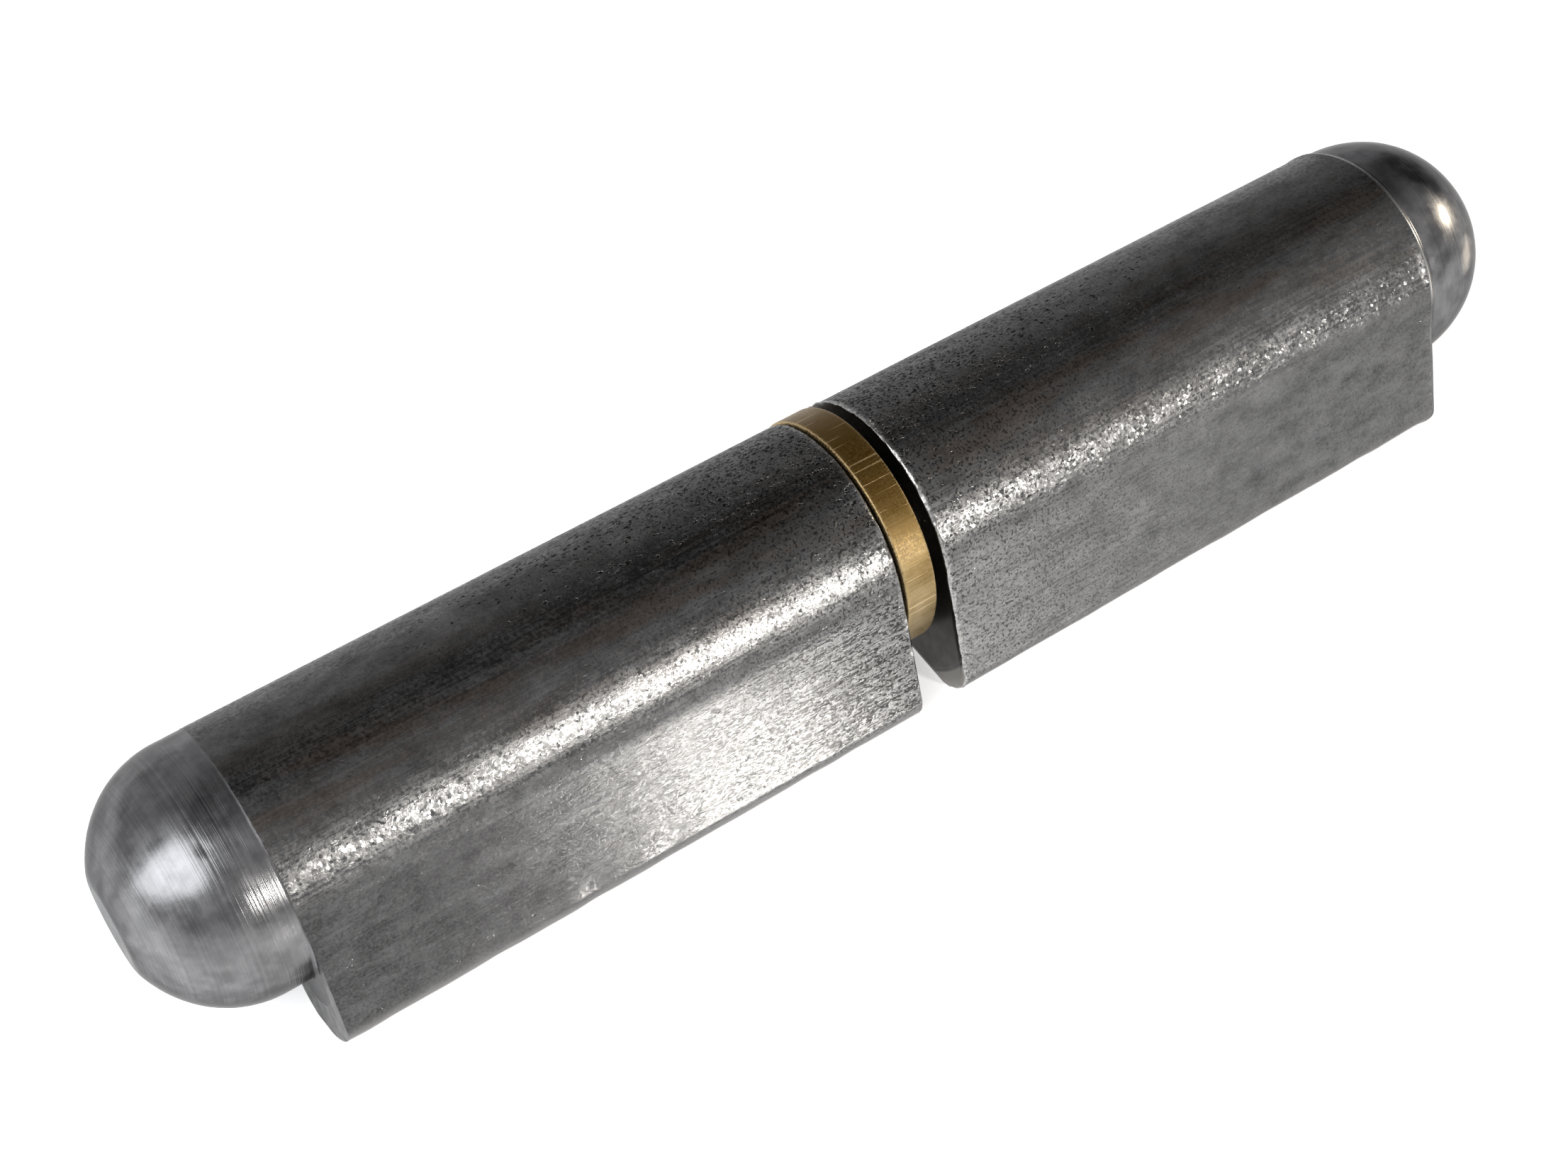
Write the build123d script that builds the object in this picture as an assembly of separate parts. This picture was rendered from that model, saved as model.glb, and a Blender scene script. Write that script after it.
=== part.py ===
from build123d import *
import os
from math import acos, asin, cos, degrees, radians, sin, sqrt, tan

# A weld-on bullet hinge, 100 mm long when closed, lying on the lower weld flanks of its leaves.
# The origin is on the pin's axis, at the bearing face of the frame leaf. +X runs along the pin
# towards the door leaf, +Z is up, and both noses point to -Y and down. Sizes are in millimetres.

# Drawn teardrop bar, from which both leaves are cut
barrel_radius = 8.0
nose_reach = 12.1
nose_tip_radius = 2.7

# Leaf, cut square at its bearing end and turned to a bullet dome at the other
leaf_length = 48.9
dome_length = 8.4
turning_depth = 0.15
dome_cove_radius = 0.6
tip_flat_radius = 2.9
tip_edge_radius = 0.6
bearing_edge_break = 0.2

# Steel pin, pressed into the frame leaf and standing out of it
pin_radius = 4.5
pin_press_depth = 20.0
pin_stand = 25.0
pin_lead_chamfer = 0.8
pin_foot_chamfer = 0.4

# Drilled holes for the pin
running_clearance = 0.05
frame_bore_spare = 0.6
door_bore_spare = 0.6
drill_point_angle = 118.0
bore_mouth_chamfer = 0.5

# Brass washer, which carries the door leaf and is as large as the barrel
washer_rim_inset = 0.0
washer_thickness = 2.2
washer_bore_clearance = 0.1
washer_edge_break = 0.12

# How far apart the photograph shows the pieces along the pin
gap_below_washer = 0.2
gap_above_washer = 0.8

# How near to a plane an edge must lie to be picked
edge_pick = 0.01

# Worked out from the sizes above
nose_centre = nose_reach - nose_tip_radius
flank_slope = degrees(asin((barrel_radius - nose_tip_radius) / nose_centre))
bar_length = leaf_length - dome_length
clear_radius = nose_reach + barrel_radius
dome_radius = barrel_radius - turning_depth
washer_radius = barrel_radius - washer_rim_inset
door_place = gap_below_washer + washer_thickness + gap_above_washer
frame_bore_depth = pin_press_depth + frame_bore_spare
door_bore_depth = pin_stand - washer_thickness + door_bore_spare


def drawn_section():
    """The bar's section: a round back and a small round tip, joined by two flat flanks."""
    normal = radians(90.0 - flank_slope)
    back = (barrel_radius * cos(normal), barrel_radius * sin(normal))
    tip = (nose_centre + nose_tip_radius * cos(normal), nose_tip_radius * sin(normal))
    lower_back = (back[0], -back[1])
    lower_tip = (tip[0], -tip[1])
    outline = Wire(
        [
            ThreePointArc(back, (-barrel_radius, 0), lower_back),
            Line(lower_back, lower_tip),
            ThreePointArc(lower_tip, (nose_reach, 0), tip),
            Line(tip, back),
        ]
    )
    # Turned about the axis until the lower flank is level, with the nose towards -Y
    return Plane.YZ * Rot(0, 0, 180.0 + flank_slope) * Face(outline)


def turned_envelope():
    """What the lathe leaves: the bar as it is, then a cove, the dome and its small flat tip."""
    cove_end = bar_length + dome_cove_radius
    cove_inset = dome_cove_radius * (1.0 - sqrt(0.5))
    arc_height = dome_length - dome_cove_radius
    half_sweep = arc_height / sqrt(1.0 - (tip_flat_radius / dome_radius) ** 2)
    tip_angle = degrees(acos(arc_height / half_sweep))
    outline = Wire(
        [
            Line((0, 0), (0, clear_radius)),
            Line((0, clear_radius), (bar_length, clear_radius)),
            Line((bar_length, clear_radius), (bar_length, dome_radius + dome_cove_radius)),
            ThreePointArc(
                (bar_length, dome_radius + dome_cove_radius),
                (bar_length + cove_inset, dome_radius + cove_inset),
                (cove_end, dome_radius),
            ),
            EllipticalCenterArc(
                (cove_end, 0), half_sweep, dome_radius, tip_angle, arc_size=90.0 - tip_angle
            ),
            Line((leaf_length, tip_flat_radius), (leaf_length, 0)),
            Line((leaf_length, 0), (0, 0)),
        ]
    )
    return revolve(Face(outline), axis=Axis.X)


def leaf_blank():
    """One leaf without its hole, from its bearing face at the origin to its dome at +X."""
    bar = extrude(drawn_section(), leaf_length, dir=(1, 0, 0))
    bearing_edges = bar.edges().filter_by_position(Axis.X, -edge_pick, edge_pick)
    bar = chamfer(bearing_edges, bearing_edge_break)
    blank = bar & turned_envelope()
    tip_edge = blank.edges().filter_by_position(
        Axis.X, leaf_length - edge_pick, leaf_length + edge_pick
    )
    return fillet(tip_edge, tip_edge_radius)


def drilled_hole(radius, depth):
    """A blind hole along +X with a drill point, opened a little at its mouth."""
    point = radius / tan(radians(drill_point_angle / 2.0))
    mouth = radius + bore_mouth_chamfer
    outline = Polyline(
        (0, 0),
        (0, mouth),
        (bore_mouth_chamfer, radius),
        (depth, radius),
        (depth + point, 0),
        close=True,
    )
    return revolve(Face(Wire(outline.edges())), axis=Axis.X)


def frame_leaf():
    """The leaf welded to the frame, which holds the pin."""
    leaf = leaf_blank() - drilled_hole(pin_radius, frame_bore_depth)
    return mirror(leaf, about=Plane.YZ)


def door_leaf():
    """The leaf welded to the door, which lifts off the pin."""
    leaf = leaf_blank() - drilled_hole(pin_radius + running_clearance, door_bore_depth)
    return Pos(door_place, 0, 0) * leaf


def hinge_pin():
    """The pin, with its foot in the frame leaf and a longer chamfer to lead the door leaf on."""
    lead_radius = pin_radius - pin_lead_chamfer
    foot_radius = pin_radius - pin_foot_chamfer
    outline = Polyline(
        (-pin_press_depth, 0),
        (-pin_press_depth, foot_radius),
        (-pin_press_depth + pin_foot_chamfer, pin_radius),
        (pin_stand - pin_lead_chamfer, pin_radius),
        (pin_stand, lead_radius),
        (pin_stand, 0),
        close=True,
    )
    return revolve(Face(Wire(outline.edges())), axis=Axis.X)


def brass_washer():
    """The washer, loose on the pin between the two bearing faces."""
    bore_radius = pin_radius + washer_bore_clearance
    ring = Circle(washer_radius) - Circle(bore_radius)
    washer = extrude(Plane.YZ * ring, washer_thickness, dir=(1, 0, 0))
    washer = chamfer(washer.edges().filter_by(GeomType.CIRCLE), washer_edge_break)
    return Pos(gap_below_washer, 0, 0) * washer


os.makedirs("parts", exist_ok=True)
pieces = {
    "frame_leaf": frame_leaf(),
    "hinge_pin": hinge_pin(),
    "brass_washer": brass_washer(),
    "door_leaf": door_leaf(),
}
for name, piece in pieces.items():
    export_step(piece, f"parts/{name}.step")
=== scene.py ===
from math import asin, cos, pi, radians, sin, sqrt

import bpy
import numpy as np
from mathutils import Matrix, Vector


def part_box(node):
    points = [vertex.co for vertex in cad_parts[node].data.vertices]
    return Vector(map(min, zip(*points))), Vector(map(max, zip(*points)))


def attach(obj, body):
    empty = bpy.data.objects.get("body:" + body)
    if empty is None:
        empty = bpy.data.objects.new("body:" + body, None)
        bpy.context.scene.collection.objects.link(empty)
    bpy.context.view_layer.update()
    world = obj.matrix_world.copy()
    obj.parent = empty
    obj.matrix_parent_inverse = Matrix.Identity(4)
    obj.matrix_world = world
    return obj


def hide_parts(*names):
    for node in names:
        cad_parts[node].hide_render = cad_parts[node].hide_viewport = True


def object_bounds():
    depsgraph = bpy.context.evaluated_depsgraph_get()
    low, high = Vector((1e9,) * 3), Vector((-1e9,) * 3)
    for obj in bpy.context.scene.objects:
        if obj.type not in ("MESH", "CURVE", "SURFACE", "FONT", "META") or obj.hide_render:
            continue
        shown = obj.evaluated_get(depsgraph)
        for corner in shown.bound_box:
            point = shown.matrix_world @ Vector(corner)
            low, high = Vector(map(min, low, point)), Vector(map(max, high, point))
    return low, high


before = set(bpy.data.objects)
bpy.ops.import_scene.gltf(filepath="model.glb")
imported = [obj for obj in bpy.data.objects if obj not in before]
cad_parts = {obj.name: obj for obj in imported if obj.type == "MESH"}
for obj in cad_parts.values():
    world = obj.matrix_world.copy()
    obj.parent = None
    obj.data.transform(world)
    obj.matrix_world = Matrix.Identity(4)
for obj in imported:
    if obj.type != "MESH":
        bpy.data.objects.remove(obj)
cadBox = [list(corner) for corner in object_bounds()]
print("frame loaded:", sorted(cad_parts))

mm = 0.001  # all lengths below are in millimetres, Blender's are in metres


# Small helpers

def toLinear(hexColour):  # an sRGB hex colour as linear red, green, blue, alpha
    parts = [int(hexColour.lstrip("#")[i:i + 2], 16) / 255 for i in (0, 2, 4)]
    return [p / 12.92 if p <= 0.04045 else ((p + 0.055) / 1.055) ** 2.4 for p in parts] + [1.0]


def addNode(tree, kind, inputs=(), stops=None, **settings):  # a node, its inputs as values or as links
    node = tree.nodes.new("ShaderNode" + kind)
    for name, value in settings.items():
        setattr(node, name, value)
    for name, value in inputs.items() if isinstance(inputs, dict) else enumerate(inputs):
        if isinstance(value, bpy.types.Node):
            value = value.outputs[0]
        if isinstance(value, bpy.types.NodeSocket):
            tree.links.new(value, node.inputs[name])
        else:
            node.inputs[name].default_value = value
    for i, (position, colour) in enumerate((stops or {}).items()):  # a colour ramp's
        elements = node.color_ramp.elements
        element = elements[i] if i < len(elements) else elements.new(position)
        element.position = position
        element.color = toLinear(colour)
    return node


def newMaterial(name, patterns, shift=(0, 0, 0)):  # an empty material, with its place and its noises in mm
    material = bpy.data.materials.new(name)
    material.use_nodes = True
    tree = material.node_tree
    tree.nodes.clear()
    metres = addNode(tree, "TexCoord").outputs["Object"]
    place = addNode(tree, "VectorMath", (metres, (1 / mm, 1 / mm, 1 / mm), shift), operation="MULTIPLY_ADD")
    noises = []
    for length, width, detail, roughness in patterns.values():
        sized = addNode(tree, "Mapping", {"Vector": place, "Scale": (1 / length, 1 / width, 1 / width)})
        settings = {"Vector": sized, "Scale": 1.0, "Detail": detail, "Roughness": roughness}
        noises.append(addNode(tree, "TexNoise", settings))
    return material, tree, place, *noises


def addMetal(tree, height, shading, normal=None):  # the metal's shader, with a height in mm as its bump
    relief = {"Strength": 1.0, "Distance": mm, "Height": height}
    if normal:
        relief["Normal"] = normal
    bump = addNode(tree, "Bump", relief)
    shader = addNode(tree, "BsdfPrincipled", {"Metallic": 1.0, "Normal": bump, **shading})
    addNode(tree, "OutputMaterial", {"Surface": shader})


def solidNoise(points, size, seed):  # smooth random values about 0 at points in mm, with bumps of that size
    cells, farAway = 48, 1000.0
    lattice = np.random.default_rng(seed).uniform(-1, 1, (cells, cells, cells))
    q = points / np.asarray(size, float) + farAway
    base = np.floor(q).astype(int)
    t = q - base
    t = t * t * (3 - 2 * t)
    total = np.zeros(len(points))
    for corner in np.ndindex(2, 2, 2):
        weight = np.prod(np.where(corner, t, 1 - t), axis=1)
        i, j, k = ((base + corner) % cells).T
        total += weight * lattice[i, j, k]
    return total


def addFloats(piece, name, values):  # one number per vertex, for a material to read
    attribute = piece.data.attributes.new(name, "FLOAT", "POINT")
    attribute.data.foreach_set("value", np.asarray(values, np.float32))


def gridMesh(name, rows, zones, closeStart, closeEnd, flip):  # a mesh from rings of points and their zones
    count, columns = rows.shape[:2]
    verts = rows.reshape(-1, 3)
    grid = np.arange(count * columns).reshape(count, columns)
    nextColumn = np.roll(grid, -1, axis=1)
    quads = np.stack([grid[:-1], nextColumn[:-1], nextColumn[1:], grid[1:]], axis=-1).reshape(-1, 4)
    faces = quads.tolist()
    faceZones = np.repeat(zones[:-1], columns).tolist()
    apexes = []
    for closed, ring, zone in ((closeStart, grid[0], zones[0]), (closeEnd, grid[-1][::-1], zones[-1])):
        if closed is None:
            continue
        apex = len(verts) + len(apexes)
        apexes.append(closed)
        faces += [[apex, int(b), int(a)] for a, b in zip(ring, np.roll(ring, -1))]
        faceZones += [int(zone)] * columns
    if apexes:
        verts = np.vstack([verts, apexes])
    if flip:
        faces = [face[::-1] for face in faces]
    mesh = bpy.data.meshes.new(name)
    mesh.from_pydata((verts * mm).tolist(), [], faces)
    mesh.polygons.foreach_set("material_index", faceZones)
    mesh.polygons.foreach_set("use_smooth", [True] * len(faces))
    mesh.update()
    piece = bpy.data.objects.new(name, mesh)
    bpy.context.scene.collection.objects.link(piece)
    return piece


# The drawn bar's section, a round back and a small round tip joined by two flat flanks

bar = {
    "barrelRadius": 8.0,
    "noseReach": 12.1,
    "noseTipRadius": 2.7,
    "flankSpare": 0.7,  # the flanks run this much further than on the ideal bar, to a blunter nose
    "cornerRadius": 1.2,
    "frontRadius": 3.67,
    "frontTurn": 20.0,  # degrees from the nose's tip to the end of each corner
    "domeLength": 8.4,
    "domeFullness": 2.04,  # 2 is an ellipse
    "tipFlatRadius": 2.9,
    "tipEdge": 0.5,
    "apexRadius": 0.12,
    "drillPoint": 118.0,
    "mouthChamfer": 0.5,
    "mouthEdge": 0.03,
    "backFade": (7.0, 11.0),  # along the outline, where the back's broken edge turns into the flanks'
    "slantFade": 2.5,
    "columns": 280,
    "rowPitch": 0.2,
    "boreRows": 24,
    "faceRows": 14,
    "squareEndRows": 13,
    "endRows": 25,
}
noseCentre = bar["noseReach"] - bar["noseTipRadius"]
flankSlope = asin((bar["barrelRadius"] - bar["noseTipRadius"]) / noseCentre)
noseAngle = pi + flankSlope  # which way the nose points, from +Y round through +Z
backArc = bar["barrelRadius"] * (pi / 2 + flankSlope)
flankWidth = noseCentre * cos(flankSlope) + bar["flankSpare"]
cornerTurn = pi / 2 - flankSlope - radians(bar["frontTurn"])
cornerArc = bar["cornerRadius"] * cornerTurn
tipArc = cornerArc + bar["frontRadius"] * radians(bar["frontTurn"])
girth = 2 * (backArc + flankWidth + tipArc)


def sectionPoint(distance):  # a point of the outline and its normal, from the back's middle over the top
    side = 1 if distance <= girth / 2 else -1
    way = distance if side == 1 else girth - distance
    back = noseAngle - pi

    def direction(turn):
        return np.array([cos(back + side * turn), sin(back + side * turn)])

    if way <= backArc:
        normal = direction(way / bar["barrelRadius"])
        return bar["barrelRadius"] * normal, normal
    flank = direction(pi / 2 + flankSlope)
    along = direction(pi + flankSlope)
    start = bar["barrelRadius"] * flank
    if way <= backArc + flankWidth:
        return start + (way - backArc) * along, flank
    cornerCentre = start + flankWidth * along - bar["cornerRadius"] * flank
    turn = (way - backArc - flankWidth) / bar["cornerRadius"]
    if turn <= cornerTurn:
        normal = direction(pi / 2 + flankSlope + turn)
        return cornerCentre + bar["cornerRadius"] * normal, normal
    seam = direction(pi / 2 + flankSlope + cornerTurn)
    frontCentre = cornerCentre + (bar["cornerRadius"] - bar["frontRadius"]) * seam
    turn = (way - backArc - flankWidth - cornerArc) / bar["frontRadius"]
    normal = direction(pi / 2 + flankSlope + cornerTurn + turn)
    return frontCentre + bar["frontRadius"] * normal, normal


def domeProfile(start, radius, height, straight):  # pairs of (along, radius) from the cove to the tip
    full = bar["domeFullness"]
    halfSweep = (height - straight) / (1 - (bar["tipFlatRadius"] / radius) ** full) ** (1 / full)
    samples, closer = 4000, 0.95  # the dome's rows stand a little closer than the bar's
    dense = np.linspace(0, height, samples)
    swept = np.maximum(dense - straight, 0) / halfSweep
    curve = np.stack([dense, radius * (1 - swept**full) ** (1 / full)], axis=1)
    travelled = np.append(0, np.cumsum(np.linalg.norm(np.diff(curve, axis=0), axis=1)))
    stop = travelled[-1] - bar["tipEdge"]
    rows = round(stop / (bar["rowPitch"] * closer))
    wanted = np.linspace(0, stop, rows + 1)[1:]
    alongs, radii = (np.interp(wanted, travelled, curve[:, i]) for i in (0, 1))
    line = list(zip(start + alongs, radii))
    before, corner = np.array(line.pop()), np.array([start + height, bar["tipFlatRadius"]])
    after = corner - [0, bar["tipEdge"]]
    for t in np.linspace(0, 1, 6):  # the small round at the flat tip's edge
        line.append(tuple((1 - t) ** 2 * before + 2 * t * (1 - t) * corner + t * t * after))
    return line + [(corner[0], r) for r in np.linspace(after[1], bar["apexRadius"], 9)[1:]]


# Leaves

boreZone, bearingZone, drawnZone, turnedZone, noseZone = range(5)  # the order of a leaf's materials

frameLeaf = {
    "node": "frame_leaf",
    "name": "frameLeaf",
    "towards": -1,  # along X, from its bearing face to its dome
    "boreRadius": 4.5,  # the pin is pressed in, and runs free in the other leaf
    "boreDepth": 20.6,
    "edgeBreak": {"flank": 0.15, "back": 0.12},
    "faceLean": 0.0,  # mm out of square for each mm across the bearing face
    "turningDepth": 0.02,  # how much thinner than the bar the dome is turned
    "coveRadius": 0.2,
    "straightBase": 1.5,  # the dome runs straight this far before it curves
    "lip": 0.0,  # pushed up by the lathe
    "slant": 0.09,  # of the nose's square end, as faceLean
    "seed": 11,
    "pits": 700,
    "pitDepth": 0.02,
    "burr": 0.06,
    "turningRings": 0.002,  # height of the dome's rings in the mesh
    "dimple": {"along": 43.4, "angle": 111.0, "radius": 0.32, "depth": 0.06},  # angle from +Y towards +Z
    "ringHeight": 0.022,  # of the finer rings in the bump
    "scores": 0.5,  # from 0 to 1, as the next ones up to the far shade
    "dots": 0.9,
    # next: a painted sheen near the gap, the bare nose and bearing edges also lightened as a painted
    # reflection and glint, a lift of tone, and painted shade far from the gap
    "flankSheen": 0.22,
    "noseBareReflection": 0.8,
    "edgeBareGlint": 0.45,
    "toneLift": 0.0,
    "farShadeShare": 0.40,
    "flankRoughness": (0.15, 0.23),  # of worn and of dull spots, as the next one
    "barrelRoughness": (0.22, 0.42),
    "facetTilt": 0.15,
    "domeRoughness": 0.24,
}
doorLeaf = {
    "node": "door_leaf",
    "name": "doorLeaf",
    "towards": 1,
    "boreRadius": 4.55,
    "boreDepth": 23.4,
    "edgeBreak": {"flank": 0.2, "back": 0.06},
    "faceLean": 0.004,
    "turningDepth": 0.12,
    "coveRadius": 0.5,
    "straightBase": 0.5,
    "lip": 0.07,
    "slant": 0.0,
    "seed": 47,
    "pits": 500,
    "pitDepth": 0.018,
    "burr": 0.10,
    "turningRings": 0.003,
    "dimple": None,
    "ringHeight": 0.004,
    "scores": 0.2,
    "dots": 0.4,
    "flankSheen": 0.24,
    "noseBareReflection": 0.35,
    "edgeBareGlint": 0.8,
    "toneLift": 0.035,
    "farShadeShare": 0.12,
    "flankRoughness": (0.22, 0.38),
    "barrelRoughness": (0.25, 0.43),
    "facetTilt": 0.22,
    "domeRoughness": 0.22,
}
wear = {  # what both leaves have, as heights in mm, and as sizes in mm along and across the bar
    "waveSize": (9.0, 2.6, 2.6),
    "waveHeight": 0.006,
    "barrelWaveHeight": 0.004,  # more waves on the barrel
    "rippleSize": (1.6, 0.8, 0.8),
    "rippleHeight": 0.004,
    "grainSize": (0.27, 0.24, 0.24),
    "grainHeight": 0.006,
    "pitFade": 14.0,
    "farPits": 0.35,  # how many of the pits are left far from the gap
    "pitLength": (0.15, 0.6),
    "pitWidth": (0.10, 0.2),
    "flankPitShare": 0.3,
    "lipLength": 0.35,
    "noseWander": 0.035,
    "ringSizes": (0.45, 1.5),
    "burrSizes": (0.8, 0.27),
    "backReach": (5.0, 9.0),  # along the outline from the back's middle, where the pits thin out
    "pitReach": (2.8, 30.8),  # the same along the bar, from the gap
    "gapPitting": 0.2,
    "gapReach": 7.0,
    "flankFade": (-1.0, 0.2),
    "crownPlace": 9.5,
    "crownWidth": 3.2,
    "noseEdgePlace": 1.1,
    "noseEdgeWidth": 0.7,
}


def leafRings(leaf, length):  # the rings of a leaf, from the drill's point in its bore to the dome's tip
    columns = bar["columns"]
    steps = (np.arange(columns) + 0.5) * girth / columns
    outline, normals = (np.array(part) for part in zip(*(sectionPoint(s) for s in steps)))
    reach = np.linalg.norm(outline, axis=1)
    rays = outline / reach[:, None]
    rings, zones, paths = [], [], []

    def add(along, points, zone, path):
        ring = np.empty((columns, 3))
        ring[:, 0] = along
        ring[:, 1:] = points
        rings.append(ring)
        zones.append(zone)
        paths.append(np.broadcast_to(path, columns))

    # the bore with its drill point, its wall and its broken mouth
    bore, depth, chamfer = leaf["boreRadius"], leaf["boreDepth"], bar["mouthChamfer"]
    pointDepth = bore / np.tan(radians(bar["drillPoint"] / 2))
    for share in (0.04, 0.5, 0.97):
        add(depth + pointDepth * (1 - share), rays * bore * share, boreZone, 0)
    for along in np.linspace(depth, chamfer + 0.05, bar["boreRows"]):
        add(along, rays * bore, boreZone, 0)
    mouth = bore + chamfer
    add(chamfer / 2, rays * (bore + chamfer / 2), boreZone, 0)
    add(bar["mouthEdge"], rays * (mouth - bar["mouthEdge"]), bearingZone, 0)

    # the bearing face, faced square, and its broken edge
    middle = np.minimum(steps, girth - steps)
    onBack = np.interp(middle, bar["backFade"], (1, 0))
    edge = leaf["edgeBreak"]["flank"] * (1 - onBack) + leaf["edgeBreak"]["back"] * onBack
    inner = outline - normals * edge[:, None]
    for share in np.linspace(0.02, 1, bar["faceRows"]):
        add(0.0, rays * mouth * (1 - share) + inner * share, bearingZone, share)
    for turn in (0.25, 0.5, 0.75):
        inset = edge * (1 - turn)
        add(edge * turn, outline - normals * inset[:, None], drawnZone, 0)

    # the drawn bar itself, which the saw cut a little out of square at the nose
    barLength = length - bar["domeLength"]
    turnedRadius, cove = bar["barrelRadius"] - leaf["turningDepth"], leaf["coveRadius"]
    coveTop = turnedRadius + cove
    drop = np.clip(coveTop - reach, 0, cove)
    upperFlank = np.array([cos(noseAngle - pi / 2 + flankSlope), sin(noseAngle - pi / 2 + flankSlope)])
    below = np.clip(bar["barrelRadius"] - outline @ upperFlank, 0, 6)
    lean = leaf["slant"] * below * np.clip((reach - coveTop) / bar["slantFade"], 0, 1)
    corner = barLength + cove - np.sqrt(cove**2 - drop**2) + lean
    rows = round(barLength / bar["rowPitch"])
    for share in np.linspace(0, 1, rows + 1)[:-1]:
        add(edge + (corner - edge) * share, outline, drawnZone, 0)
    add(corner - 0.05, outline, drawnZone, 0)

    # the square end of the nose, the cove and the dome
    straight = np.maximum(reach - coveTop, 0)
    firstTurn = np.where(reach > coveTop, 0, np.arcsin(np.clip((coveTop - reach) / cove, 0, 1)))
    whole = straight + cove * (pi / 2 - firstTurn)
    for i in range(bar["endRows"]):
        way = whole * max(i, 0.15) / (bar["endRows"] - 1)
        turn = firstTurn + np.maximum(way - straight, 0) / cove
        radius = np.where(way < straight, reach - way, coveTop - cove * np.sin(turn))
        leanHere = lean * (1 - way / np.maximum(straight, 1e-6))
        along = np.where(way < straight, barLength + leanHere, barLength + cove * (1 - np.cos(turn)))
        zone = noseZone if i < bar["squareEndRows"] else turnedZone
        add(along, rays * radius[:, None], zone, way - whole)
    travelled, last = 0.0, None
    dome = domeProfile(barLength + cove, turnedRadius, bar["domeLength"] - cove, leaf["straightBase"])
    for along, radius in dome:
        if last is not None:
            travelled += sqrt((along - last[0]) ** 2 + (radius - last[1]) ** 2)
        last = (along, radius)
        add(along, rays * radius, turnedZone, travelled + 0.2)
    return np.array(rings), np.array(zones), np.array(paths), steps, normals


def ringNormals(rings):  # the surface's own normals at the points of a grid of rings
    alongWay = np.gradient(rings, axis=0)
    roundWay = (np.roll(rings, -1, axis=1) - np.roll(rings, 1, axis=1)) / 2
    normals = np.cross(roundWay, alongWay)
    return normals / np.maximum(np.linalg.norm(normals, axis=2, keepdims=True), 1e-9)


def wearLeaf(leaf, rings, zones, paths, steps, length, firstRow, lastRow):  # how far the surface stands off
    seed = leaf["seed"]
    rng = np.random.default_rng(seed)
    shape, columns = rings.shape[:2], bar["columns"]
    points = rings.reshape(-1, 3)
    drawn = (zones == drawnZone)[:, None] * np.ones(shape)
    turned = (zones >= turnedZone)[:, None] * np.ones(shape)
    middle = np.minimum(steps, girth - steps)
    # long shallow waves and short ripples of the drawn skin, and its grain
    waves = solidNoise(points, wear["waveSize"], seed).reshape(shape)
    ripples = solidNoise(points, wear["rippleSize"], seed + 1).reshape(shape)
    grain = solidNoise(points, wear["grainSize"], seed + 2).reshape(shape)
    onBarrel = np.interp(middle - backArc, (-0.8, 0.8), (1, 0))
    offset = drawn * (wear["waveHeight"] + wear["barrelWaveHeight"] * onBarrel) * waves
    offset += drawn * onBarrel * (wear["rippleHeight"] * ripples + wear["grainHeight"] * grain)
    # pits, longer along the bar, and more of them near the gap
    alongs = rings[:, :, 0]
    for _ in range(leaf["pits"]):
        along = rng.uniform(0.5, length - bar["domeLength"] - 0.5)
        distance = rng.uniform(0, girth)
        wanted = wear["farPits"] + (1 - wear["farPits"]) * np.exp(-along / wear["pitFade"])
        if rng.uniform() > wanted:
            continue
        long, wide = rng.uniform(*wear["pitLength"]), rng.uniform(*wear["pitWidth"])
        depth = leaf["pitDepth"] * rng.uniform(0.4, 1.0)
        depth *= 1 if min(distance, girth - distance) < backArc else wear["flankPitShare"]
        j = int(distance / girth * columns) + np.arange(-3, 4)
        i = firstRow + int(along / bar["rowPitch"]) + np.arange(-4, 5)
        i = i[(i > firstRow) & (i < lastRow)]
        if not len(i):
            continue
        jj = j % columns
        near = (alongs[np.ix_(i, jj)] - along) / long
        aside = ((j + 0.5) * girth / columns - distance) / wide
        offset[np.ix_(i, jj)] -= depth * np.exp(-near**2 - aside[None, :] ** 2)
    # a lip that the lathe pushed up at the bar's end
    fromEnd = length - bar["domeLength"] - alongs
    lipNoise = solidNoise(points * [0, 1, 1], 2.2, seed + 8).reshape(shape)
    offset += drawn * leaf["lip"] * (1 + 0.2 * lipNoise) * np.exp(-((fromEnd / wear["lipLength"]) ** 2))
    # the nose's edge isn't quite straight
    nose = np.exp(-(((steps - girth / 2) / (tipArc * 1.2)) ** 2))[None, :]
    edgeWander = solidNoise(points * [1, 0, 0], (1.7, 1, 1), seed + 3).reshape(shape)
    offset += drawn * nose * wear["noseWander"] * edgeWander
    # the lathe's rings on the dome, not quite even
    ringPoints = paths.reshape(-1, 1) * [1, 0, 0]
    fineSize, wideSize = wear["ringSizes"]
    fineRings = solidNoise(ringPoints, (fineSize, 1, 1), seed + 4).reshape(shape)
    wideRings = solidNoise(ringPoints, (wideSize, 1, 1), seed + 5).reshape(shape)
    fade = np.clip(-fromEnd / 0.5, 0, 1)
    offset += turned * fade * leaf["turningRings"] * (fineRings + 1.5 * wideRings)
    if leaf["dimple"]:
        d = leaf["dimple"]
        angle = np.arctan2(rings[:, :, 2], rings[:, :, 1])
        aside = (angle - radians(d["angle"])) * np.hypot(rings[:, :, 1], rings[:, :, 2])
        offset -= turned * d["depth"] * np.exp(-((alongs - d["along"]) ** 2 + aside**2) / d["radius"] ** 2)
    return offset


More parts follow.
